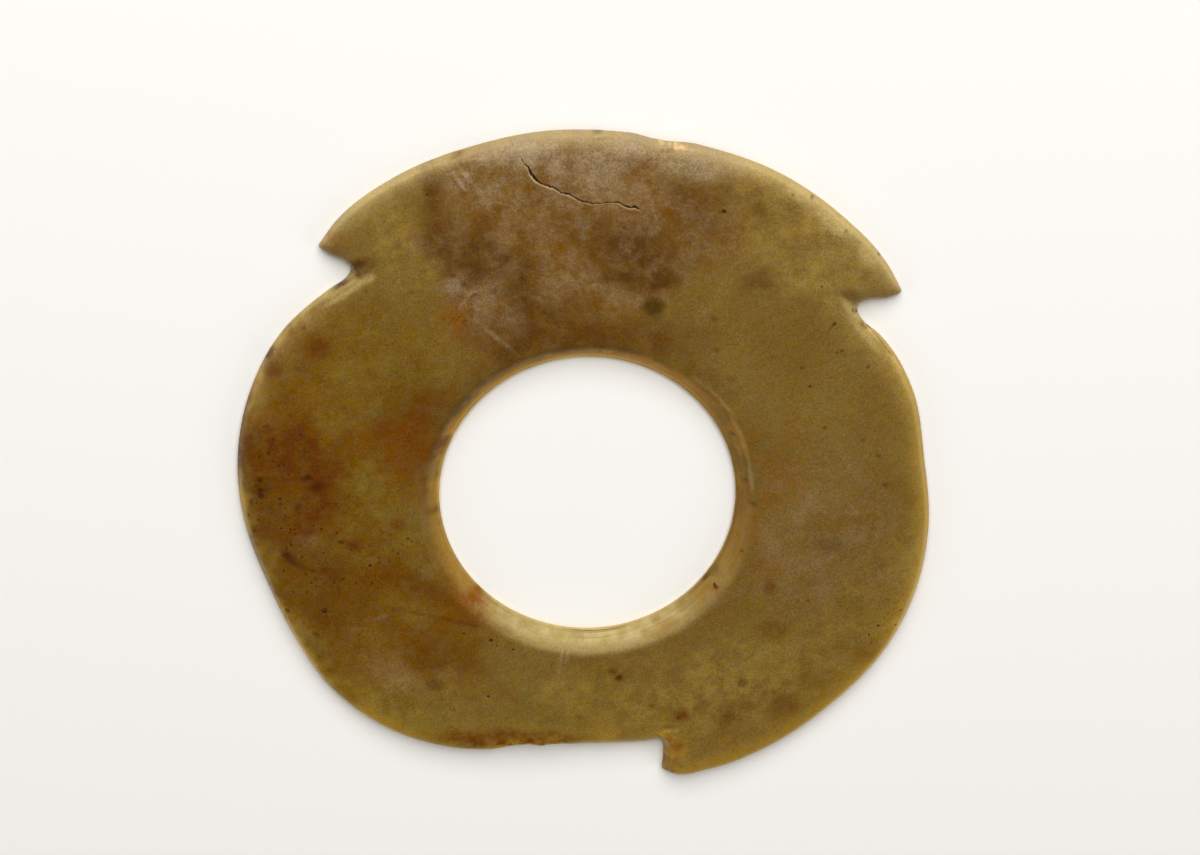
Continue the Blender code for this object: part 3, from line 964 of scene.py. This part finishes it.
def marks_shown(points, shifts, marks, softness, surface):
    """How strongly a kind of mark, stain and painted light and shade alike, shows at each point. A mark goes
    about as deep as it is wide.
    """
    total = np.zeros(len(points))
    coarse, fine = shifts
    for mark in marks:
        middle = np.array(on_stone(mark.pixel, surface))
        offsets = points[:, :2] - middle[:2]
        reach = mark.width * min(1, mark.width / FULL_WARP_WIDTH)
        offsets = offsets + reach * (COARSE_WARP_SHARE * coarse + FINE_WARP_SHARE * fine)
        turn = radians(mark.turn)
        along = (offsets[:, 0] * cos(turn) + offsets[:, 1] * sin(turn)) / (mark.length / 2)
        across = (offsets[:, 1] * cos(turn) - offsets[:, 0] * sin(turn)) / (mark.width / 2)
        shown = smooth_step((1 + softness - np.hypot(along, across)) / (2 * softness))
        below = np.abs(points[:, 2] - middle[2])
        shown *= smooth_step(MARK_DEPTH - below / (mark.width + MARK_EXTRA_DEPTH))
        total = 1 - (1 - total) * (1 - shown * mark.strength)
    return total


def carved_disc(surface):
    """The dressed disc, with its stains, painted light and shade, dirt and glow as values on its mesh."""
    bm = merged_stone()
    refine(bm, detail_places(surface))
    soften(bm)
    glow = rim_glow(bm)
    surface = BVHTree.FromBMesh(bm)
    layers = carve(bm, surface)
    layers["glow"] = glow
    points = places_of(bm)
    shifts = warps(points)
    for kind, (marks, softness) in MARK_KINDS.items():
        layers[kind] = marks_shown(points, shifts, marks, softness, surface)
    mesh = bpy.data.meshes.new("carved_disc")
    bm.to_mesh(mesh)
    bm.free()
    mesh.shade_smooth()
    for name, values in layers.items():
        layer = mesh.attributes.new(name, "FLOAT", "POINT")
        layer.data.foreach_set("value", values.astype(np.float32))
    disc = bpy.data.objects.new("carved_disc", mesh)
    bpy.context.scene.collection.objects.link(disc)
    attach(disc, "root")
    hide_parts("toothed_disc")
    return disc


# Light that a polish throws back, and how a screen's numbers stand for light
POLISH_LIGHT = 0.009
POLISH_LIMIT = 3
SCREEN_WHITE = 255
SCREEN_OFFSET = 0.055
SCREEN_POWER = 2.4


def linear(red, green, blue):
    """A colour as the eye sees it, 0 to 255, turned into the light that it stands for."""
    shares = [value / SCREEN_WHITE for value in (red, green, blue)]
    return tuple(((share + SCREEN_OFFSET) / (1 + SCREEN_OFFSET)) ** SCREEN_POWER for share in shares) + (1,)


def stone_colour(red, green, blue):
    """A base colour, the stone's own and painted light alike, which with the light that its polish throws
    back looks as given.
    """
    return tuple(max(c - POLISH_LIGHT, c / POLISH_LIMIT) for c in linear(red, green, blue)[:3]) + (1,)


# Colours of the stone and of its painted light and shade, as they look under a polish
OLIVE = stone_colour(124, 99, 50)
OLIVE_DEEP = stone_colour(115, 88, 41)
HONEY = stone_colour(115, 76, 12)
GREENISH_OLIVE = stone_colour(121, 97, 40)
LIGHT_TAN = stone_colour(150, 122, 62)
VEIL_BROWN = stone_colour(113, 76, 27)
VEIL_TAN = stone_colour(129, 99, 62)
WEB_GREY = stone_colour(146, 124, 99)
PURPLE_BROWN = stone_colour(86, 57, 26)
RUST_BROWN = stone_colour(96, 53, 3)
GREY_VIOLET = stone_colour(164, 142, 112)
SPOT_GREY = stone_colour(74, 54, 16)
SPECK_BROWN = stone_colour(60, 34, 12)
# Painted shade along the drill's ridges on the hole's wall
RIDGE_SHADE_BROWN = stone_colour(104, 76, 34)
DIRT_BROWN = stone_colour(40, 24, 12)
# Fresh breaks, and the painted highlight on the grooves' lower lips
FRESH_STONE_AND_HIGHLIGHT = stone_colour(226, 190, 140)
ORANGE_BROWN = stone_colour(130, 76, 16)
# Painted highlight on the bevels
HIGHLIGHT_PALE = stone_colour(190, 168, 106)
PALE_GLOW = stone_colour(199, 175, 119)
GOLDEN_GLOW = stone_colour(226, 180, 66)
SIDE_GLOW = stone_colour(184, 147, 54)
LIP_GLOW = stone_colour(255, 217, 108)
# Painted shade and light on the hole's wall: deep orange where the upper wall lies in shade, pale tan and
# olive where the lower wall faces the light, amber where light comes through the side walls
SHADED_WALL_BROWN = stone_colour(204, 142, 28)
LIT_WALL_TAN = stone_colour(191, 173, 121)
LIT_WALL_OLIVE = stone_colour(173, 151, 94)
AMBER_GLOW = stone_colour(160, 122, 52)

# Noises that run through the stone
DRIFT = Pattern(0.017, 1)
CLOUDS = Pattern(0.0040, 4, 0.62)
MOTTLE = Pattern(0.0028, 3, 0.6)
GRAIN = Pattern(0.00036, 2, 0.6)
DUST = Pattern(0.00019, 1)
FIBRES = Pattern(0.0011, 3, 0.6, 30, (3.5, 1, 1))
VEIL_LINES = Pattern(0.0021, 2, 0.5, -35, (1.5, 1, 1))
STRIAE = Pattern(0.00030, 2, 0.5, 0, (40, 40, 1))
LINE_WOBBLE = Pattern(0.006, 1)
HUE_DRIFT = Pattern(0.0009, 2)
TINT_DRIFT = Pattern(0.0015, 4, 0.7)

# Stone and veil
STONE_SHARE = Ramp(0.55, 0.95)
MOTTLE_IN_STONE = 0.5
VEIL_SHARE = Ramp(0.34, 0.66)
VEIL_LINE_WIDTH = Ramp(0.075, 0)
VEIL_LINE_STRENGTH = Ramp(0.35, 0.65, 0.08, 0.42)
NOISE_MIDDLE = 0.5

# Paler wall of the hole, which fades out over its rounded lip
WALL_MIDDLE = HOLE_MIDDLE + Vector((0.0006, 0, FACE_TOP / 2))
WALL_WANDER = Ramp(0.2, 0.8, -0.0003, 0.0003)
WALL_FADE = Ramp(0.0302, 0.0270)
DEEP_WALL_FADE = Ramp(0.0295, 0.0270)
WALL_SHARE = Ramp(0.30, 0.70)

# Places where the colour of the glow changes, from the bottom of the disc to its top
LOWER_RIM = Ramp(-0.045, 0)
UPPER_RIM = Ramp(0, 0.045)
UPPER_WALL = Ramp(-0.02, 0.015)
HONEY_DIMMING = 0.90

# How the stains are broken up
BROKEN_UP = Ramp(0.30, 0.68, 0.35, 1.25)
CLOUDED = Ramp(0.48, 0.82, 0.3, 1.2)
GRAIN_IN_CLOUDS = 0.3
GRAINY = Ramp(0.3, 0.6, 0.6, 1.1)

# Small specks: the size of their cells, the share of them left empty, and their strength
SPECKS = ((0.0008, 0.50, 0.75), (0.0017, 0.70, 0.85))
SPECKS_EVERYWHERE = 0.10
SPECK_SIZE = Ramp(0, 1, 0.16, 0.42)
SPECK_RAGGEDNESS = 0.20
SPECK_SOFTNESS = 0.10

# Painted shade along the drill's ridges, as dark lines low down on the hole's wall: the height and the
# strength of each
RIDGE_SHADE_LINES = ((0.00150, 0.75), (0.00178, 0.50), (0.00262, 0.22))
LINE_WANDER = Ramp(0.2, 0.8, -0.00012, 0.00012)
LINE_SHARPNESS = Ramp(0.00011, 0.00004)
LINE_BREAKS = Ramp(0.40, 0.58)

# Light and dark of the stone, and small shifts of its colour
MOTTLE_SHADE = Ramp(0.25, 0.75, -0.06, 0.06)
FIBRE_SHADE = Ramp(0.3, 0.7, -0.05, 0.05)
GRAIN_SHADE = Ramp(0.25, 0.75, -0.17, 0.17)
DUST_SHADE = Ramp(0.2, 0.8, -0.22, 0.22)
STRIAE_SHADE = Ramp(0.3, 0.7, -0.07, 0.07)
PALE_CALM = 0.65
HUE_SHIFT = Ramp(0.25, 0.75, 0.494, 0.506)
TINT_SHIFT = Ramp(0.3, 0.7, 0.955, 1.045)

# Polish
GLOSS = Ramp(0.3, 0.7, 0.34, 0.46)
GRAIN_DULLNESS = 0.08
WALL_DULLNESS = 0.18
DIRT_DULLNESS = 0.3
GRAIN_RELIEF = 0.5
RELIEF_DEPTH = 0.00003
RELIEF_STRENGTH = 0.5
STONE_IOR = 1.6
STONE_SPECULAR = 0.22
STONE_SPECULAR_TINT = (1, 0.80, 0.42, 1)

# Studio, and the name, place, width and power of each lamp
FLOOR_HALF_WIDTH = 1.5
FLOOR_COLOUR = (0.96, 0.945, 0.905, 1)
FLOOR_ROUGHNESS = 0.9
STUDIO_COLOUR = (1, 0.985, 0.96, 1)
STUDIO_STRENGTH = 0.10
LAMPS = (
    ("key", (0.05, 0.85, 0.90), 1.0, 18.4),
    ("left_fill", (-0.9, -0.1, 0.6), 0.6, 1.5),
    ("right_fill", (0.9, -0.3, 0.6), 0.6, 2.0),
)


class Nodes:
    """Adds nodes to a tree, each with its inputs set or linked."""

    def __init__(self, tree):
        self.tree = tree

    def add(self, kind, inputs=None, **settings):
        node = self.tree.nodes.new(kind)
        for name, value in settings.items():
            setattr(node, name, value)
        for name, value in (inputs or {}).items():
            if isinstance(value, bpy.types.NodeSocket):
                self.tree.links.new(value, node.inputs[name])
            else:
                node.inputs[name].default_value = value
        return node

    def maths(self, operation, first, second=0, clamp=False):
        node = self.add("ShaderNodeMath", {0: first, 1: second}, operation=operation, use_clamp=clamp)
        return node.outputs[0]

    def plus_share(self, first, second, share):
        """The first value with a share of the second added."""
        return self.maths("ADD", first, self.maths("MULTIPLY", second, share))

    def one_less(self, value, share):
        """What is left of 1 when a share of the value is taken off."""
        return self.maths("SUBTRACT", 1, self.maths("MULTIPLY", value, share))

    def blend(self, share, first, second):
        """The first colour, changed to the second by this share."""
        node = self.add("ShaderNodeMix", {0: share, 6: first, 7: second}, data_type="RGBA")
        return node.outputs[2]

    def ramp(self, value, ramp):
        """The value, carried over from the ramp's first range to its second."""
        inputs = {
            "Value": value,
            "From Min": ramp.low,
            "From Max": ramp.high,
            "To Min": ramp.to_low,
            "To Max": ramp.to_high,
        }
        return self.add("ShaderNodeMapRange", inputs, interpolation_type="SMOOTHSTEP").outputs[0]

    def noise(self, place, pattern):
        """A pattern's noise, turned and stretched where the pattern is."""
        if pattern.stretch:
            lie = {"Vector": place, "Rotation": (0, 0, radians(pattern.turn)), "Scale": pattern.stretch}
            place = self.add("ShaderNodeMapping", lie, vector_type="TEXTURE").outputs[0]
        inputs = {
            "Vector": place,
            "Scale": 1 / pattern.length,
            "Detail": pattern.detail,
            "Roughness": pattern.roughness,
        }
        return self.add("ShaderNodeTexNoise", inputs).outputs[0]

    def layer(self, name):
        """A value that the mesh carries."""
        return self.add("ShaderNodeAttribute", attribute_name=name).outputs["Fac"]


def stone_patterns(nodes):
    """The places, noises and masks that the parts of the material share."""
    place = nodes.add("ShaderNodeTexCoord").outputs["Object"]
    _, upways, height = nodes.add("ShaderNodeSeparateXYZ", {0: place}).outputs
    mottle = nodes.noise(place, MOTTLE)
    from_wall = nodes.add("ShaderNodeVectorMath", {0: place, 1: WALL_MIDDLE}, operation="DISTANCE")
    wandering = nodes.maths("ADD", from_wall.outputs["Value"], nodes.ramp(mottle, WALL_WANDER))
    in_hole = nodes.ramp(wandering, WALL_FADE)
    return SimpleNamespace(
        place=place,
        upways=upways,
        height=height,
        drift=nodes.noise(place, DRIFT),
        clouds=nodes.noise(place, CLOUDS),
        mottle=mottle,
        grain=nodes.noise(place, GRAIN),
        in_hole=in_hole,
        deep_in_hole=nodes.ramp(wandering, DEEP_WALL_FADE),
        outside=nodes.maths("SUBTRACT", 1, in_hole),
    )


def veil_colour(nodes, stone):
    """Soft clouds of tan on brown, and a web of fine greyish lines."""
    lines = nodes.noise(stone.place, VEIL_LINES)
    lines = nodes.maths("ABSOLUTE", nodes.maths("SUBTRACT", lines, NOISE_MIDDLE))
    strength = nodes.ramp(stone.clouds, VEIL_LINE_STRENGTH)
    web = nodes.maths("MULTIPLY", nodes.ramp(lines, VEIL_LINE_WIDTH), strength)
    colour = nodes.blend(nodes.ramp(stone.clouds, VEIL_SHARE), VEIL_BROWN, VEIL_TAN)
    return nodes.blend(web, colour, WEB_GREY)


def glow_colour(nodes, stone):
    """Light through the thin edges: golden along the bottom, pale along the top, bright in the hole."""
    colour = nodes.blend(nodes.ramp(stone.upways, LOWER_RIM), GOLDEN_GLOW, SIDE_GLOW)
    colour = nodes.blend(nodes.ramp(stone.upways, UPPER_RIM), colour, PALE_GLOW)
    wall = nodes.blend(nodes.ramp(stone.upways, UPPER_WALL), PALE_GLOW, LIP_GLOW)
    return nodes.blend(stone.in_hole, colour, wall)


def marked_colour(nodes, stone):
    """The stone's colour under its stains and its painted light and shade, each of them broken up by the
    mottling.
    """
    share = nodes.ramp(nodes.plus_share(stone.drift, stone.mottle, MOTTLE_IN_STONE), STONE_SHARE)
    colour = nodes.blend(share, OLIVE, OLIVE_DEEP)
    # Painted light on the lower wall: pale tan and olive, mottled
    lit_wall_colour = nodes.blend(nodes.ramp(stone.mottle, WALL_SHARE), LIT_WALL_OLIVE, LIT_WALL_TAN)
    honey_rim = nodes.maths("MULTIPLY", nodes.layer("honey_side"), stone.outside)
    thin = nodes.one_less(honey_rim, HONEY_DIMMING)
    broken_up = nodes.ramp(stone.mottle, BROKEN_UP)
    broken_outside = nodes.maths("MULTIPLY", broken_up, stone.outside)
    clouded = nodes.ramp(nodes.plus_share(stone.clouds, stone.grain, GRAIN_IN_CLOUDS), CLOUDED)
    stains = (
        ("honey_side", HONEY, 1),
        ("greenish", GREENISH_OLIVE, broken_up),
        ("light", LIGHT_TAN, broken_up),
        ("veil", veil_colour(nodes, stone), 1),
        # Painted light and shade on the hole's wall: pale below, amber on the sides, deep orange above
        ("painted_wall_light", lit_wall_colour, stone.in_hole),
        ("side_wall_glow", AMBER_GLOW, stone.deep_in_hole),
        ("shaded_wall_orange", SHADED_WALL_BROWN, stone.deep_in_hole),
        # Painted highlights on the bevels, pale yellowish
        ("painted_highlight", HIGHLIGHT_PALE, 1),
        ("glow", glow_colour(nodes, stone), thin),
        ("brown", PURPLE_BROWN, broken_outside),
        ("rust", RUST_BROWN, broken_outside),
        ("orange", ORANGE_BROWN, broken_up),
        ("pale", GREY_VIOLET, clouded),
        ("grey_spots", SPOT_GREY, 1),
        ("dark", SPECK_BROWN, nodes.ramp(stone.grain, GRAINY)),
    )
    for name, stain, texture in stains:
        amount = nodes.maths("MULTIPLY", nodes.layer(name), texture, clamp=True)
        colour = nodes.blend(amount, colour, stain)
    return colour


def add_specks(nodes, stone, colour):
    """Small dark specks, thick in the rusty parts and few elsewhere."""
    where = nodes.maths("ADD", nodes.layer("speckled"), SPECKS_EVERYWHERE, clamp=True)
    where = nodes.maths("MULTIPLY", where, stone.outside)
    for cell, empty, strength in SPECKS:
        cells = nodes.add("ShaderNodeTexVoronoi", {"Vector": stone.place, "Scale": 1 / cell}).outputs
        chance, size, _ = nodes.add("ShaderNodeSeparateColor", {0: cells["Color"]}).outputs
        reach = nodes.ramp(size, SPECK_SIZE)
        edge = nodes.maths("SUBTRACT", reach, nodes.maths("MULTIPLY", stone.grain, SPECK_RAGGEDNESS))
        spot = nodes.ramp(cells["Distance"], Ramp(nodes.maths("ADD", edge, SPECK_SOFTNESS), edge))
        spot = nodes.maths("MULTIPLY", spot, nodes.ramp(chance, Ramp(empty, 1)))
        amount = nodes.maths("MULTIPLY", nodes.maths("MULTIPLY", spot, where), strength)
        colour = nodes.blend(amount, colour, SPECK_BROWN)
    return colour


def add_ridge_shade(nodes, stone, colour):
    """Painted shade along the drill's ridges: dark lines low down on the hole's wall."""
    wobble = nodes.ramp(nodes.noise(stone.place, LINE_WOBBLE), LINE_WANDER)
    height = nodes.maths("ADD", stone.height, wobble)
    breaks = nodes.ramp(stone.drift, LINE_BREAKS)
    for line_height, strength in RIDGE_SHADE_LINES:
        offset = nodes.maths("ABSOLUTE", nodes.maths("SUBTRACT", height, line_height))
        line = nodes.maths("MULTIPLY", nodes.ramp(offset, LINE_SHARPNESS), breaks)
        line = nodes.maths("MULTIPLY", nodes.maths("MULTIPLY", line, stone.in_hole), strength)
        colour = nodes.blend(line, colour, RIDGE_SHADE_BROWN)
    return colour


def add_shade(nodes, stone, colour):
    """Light and dark of the mottling, fibres, grain and dust, weaker on the pale wall and rim."""
    fibres = nodes.noise(stone.place, FIBRES)
    dust = nodes.noise(stone.place, DUST)
    shade = nodes.ramp(stone.mottle, MOTTLE_SHADE)
    for pattern, ramp in ((fibres, FIBRE_SHADE), (stone.grain, GRAIN_SHADE), (dust, DUST_SHADE)):
        shade = nodes.maths("ADD", shade, nodes.ramp(pattern, ramp))
    pale_part = nodes.maths("MAXIMUM", stone.in_hole, nodes.layer("glow"))
    shade = nodes.maths("MULTIPLY", shade, nodes.one_less(pale_part, PALE_CALM))
    striae = nodes.ramp(nodes.noise(stone.place, STRIAE), STRIAE_SHADE)
    shade = nodes.maths("ADD", shade, nodes.maths("MULTIPLY", striae, stone.in_hole))
    inputs = {
        "Hue": nodes.ramp(nodes.noise(stone.place, HUE_DRIFT), HUE_SHIFT),
        "Saturation": nodes.ramp(nodes.noise(stone.place, TINT_DRIFT), TINT_SHIFT),
        "Value": nodes.maths("ADD", shade, 1),
        "Color": colour,
    }
    return nodes.add("ShaderNodeHueSaturation", inputs).outputs[0]


def jade_material():
    """Polished nephrite: olive and honey stone with fibres and mottling, stains, painted light through its
    thin edges, painted light and shade on its bevels and hole wall, and fine wear.
    """
    material = bpy.data.materials.new("jade")
    material.use_nodes = True
    nodes = Nodes(material.node_tree)
    shader = material.node_tree.nodes["Principled BSDF"]
    stone = stone_patterns(nodes)
    broken = nodes.layer("broken")
    dirt = nodes.layer("dirt")

    colour = marked_colour(nodes, stone)
    colour = add_specks(nodes, stone, colour)
    colour = add_ridge_shade(nodes, stone, colour)
    colour = add_shade(nodes, stone, colour)
    # Fresh breaks, and the painted highlight along the grooves' lower lips, in a pale stone colour
    colour = nodes.blend(broken, colour, FRESH_STONE_AND_HIGHLIGHT)
    colour = nodes.blend(dirt, colour, DIRT_BROWN)

    gloss = nodes.plus_share(nodes.ramp(stone.mottle, GLOSS), stone.grain, GRAIN_DULLNESS)
    gloss = nodes.plus_share(gloss, stone.in_hole, WALL_DULLNESS)
    gloss = nodes.plus_share(gloss, nodes.maths("MAXIMUM", broken, dirt), DIRT_DULLNESS)

    relief = nodes.plus_share(stone.mottle, stone.grain, GRAIN_RELIEF)
    bump = {"Height": relief, "Distance": RELIEF_DEPTH, "Strength": RELIEF_STRENGTH}
    normal = nodes.add("ShaderNodeBump", bump).outputs[0]
    for socket, value in (("Base Color", colour), ("Roughness", gloss), ("Normal", normal)):
        material.node_tree.links.new(value, shader.inputs[socket])
    shader.inputs["IOR"].default_value = STONE_IOR
    shader.inputs["Specular IOR Level"].default_value = STONE_SPECULAR
    shader.inputs["Specular Tint"].default_value = STONE_SPECULAR_TINT
    return material


def make_floor():
    """The plain pale floor that the disc lies on."""
    bm = bmesh.new()
    bmesh.ops.create_grid(bm, x_segments=1, y_segments=1, size=FLOOR_HALF_WIDTH)
    mesh = bpy.data.meshes.new("floor")
    bm.to_mesh(mesh)
    bm.free()
    floor = bpy.data.objects.new("floor", mesh)
    material = bpy.data.materials.new("floor")
    material.use_nodes = True
    surface = material.node_tree.nodes["Principled BSDF"]
    surface.inputs["Base Color"].default_value = FLOOR_COLOUR
    surface.inputs["Roughness"].default_value = FLOOR_ROUGHNESS
    mesh.materials.append(material)
    bpy.context.scene.collection.objects.link(floor)


def make_light(name, place, size, power):
    """A soft square light that faces the disc."""
    data = bpy.data.lights.new(name, "AREA")
    data.size = size
    data.energy = power
    light = bpy.data.objects.new(name, data)
    light.location = place
    light.rotation_mode = "QUATERNION"
    light.rotation_quaternion = (-Vector(place)).to_track_quat("-Z", "Y")
    bpy.context.scene.collection.objects.link(light)


def make_world():
    """The faint even light of the studio."""
    world = bpy.data.worlds.new("studio")
    world.use_nodes = True
    background = world.node_tree.nodes["Background"]
    background.inputs["Color"].default_value = STUDIO_COLOUR
    background.inputs["Strength"].default_value = STUDIO_STRENGTH
    bpy.context.scene.world = world


bpy.context.scene.view_settings.view_transform = "Standard"
surface = BVHTree.FromBMesh(merged_stone())
make_camera()
make_floor()
make_world()
for lamp in LAMPS:
    make_light(*lamp)
disc = carved_disc(surface)
disc.data.materials.append(jade_material())
